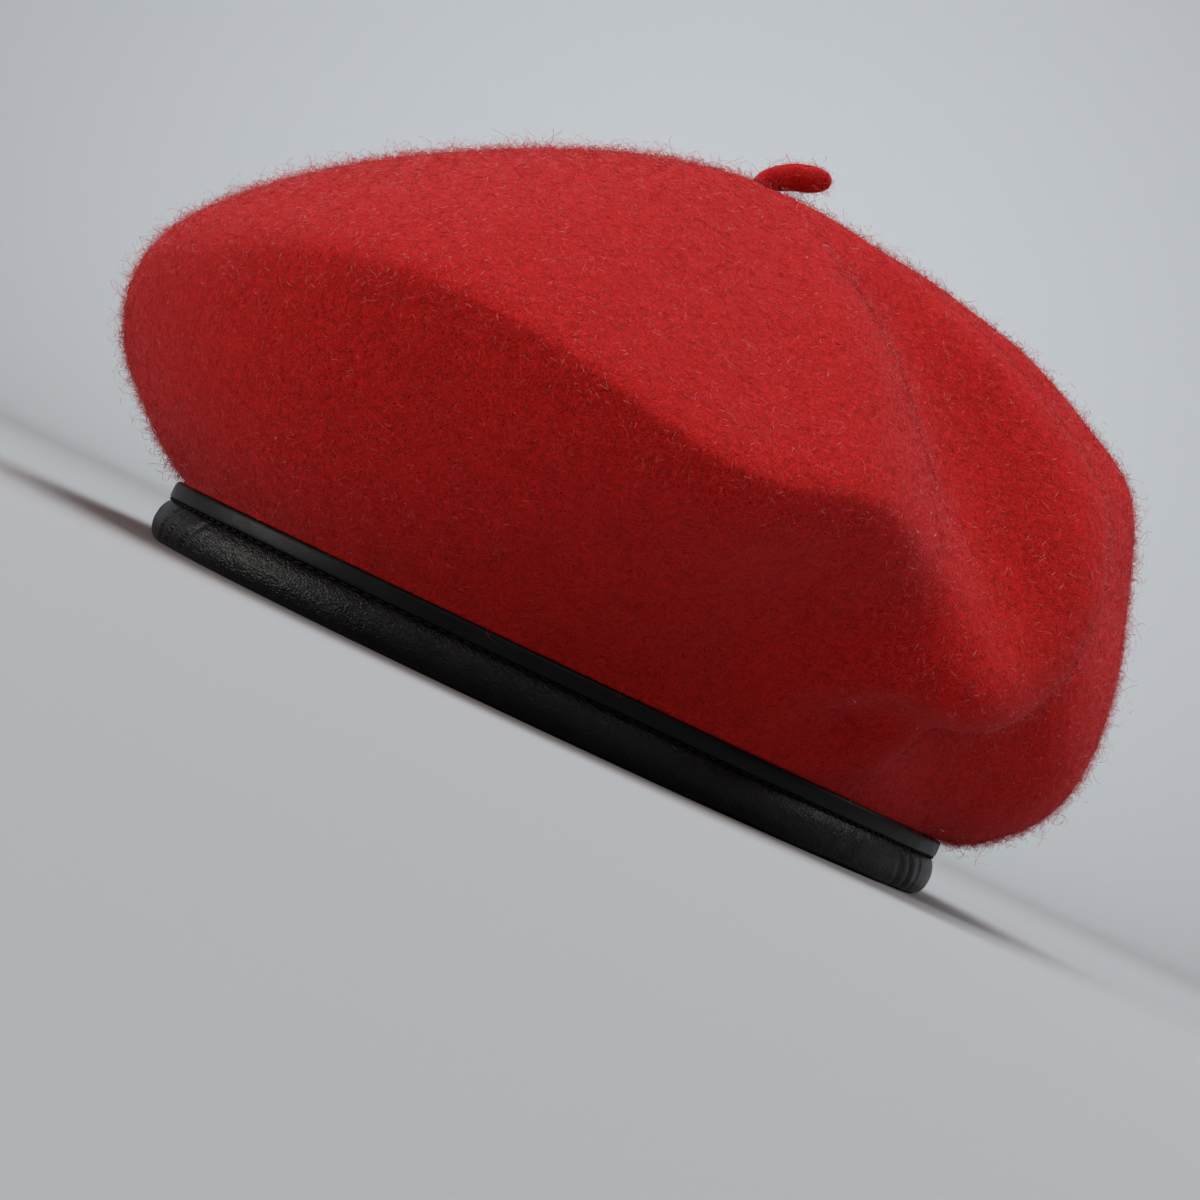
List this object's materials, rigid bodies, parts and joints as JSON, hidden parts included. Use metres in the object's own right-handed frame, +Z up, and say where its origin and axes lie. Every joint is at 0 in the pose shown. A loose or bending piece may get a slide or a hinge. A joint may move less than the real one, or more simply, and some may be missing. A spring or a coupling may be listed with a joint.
{
  "type": "felt beret",
  "caption": "Draped wool felt beret with a short felt stalk, and a leather band of a flat strip and a padded roll round the open head mouth.",
  "frame": {"origin": "under the middle of the beret's box, on the surface that the leather band rests on", "axes": "-Y towards the wearer's forehead, +X towards the wearer's left, +Z up"},
  "size_m": [0.228, 0.2556, 0.1448],
  "materials": {
    "wool_felt": "deep red fuzzy wool felt, matt",
    "band_leather": "black, fine-grained, satin"
  },
  "bodies": {
    "root": {"crown": "wool_felt", "stalk": "wool_felt", "band_strip": "band_leather", "band_roll": "band_leather"}
  },
  "joints": []
}
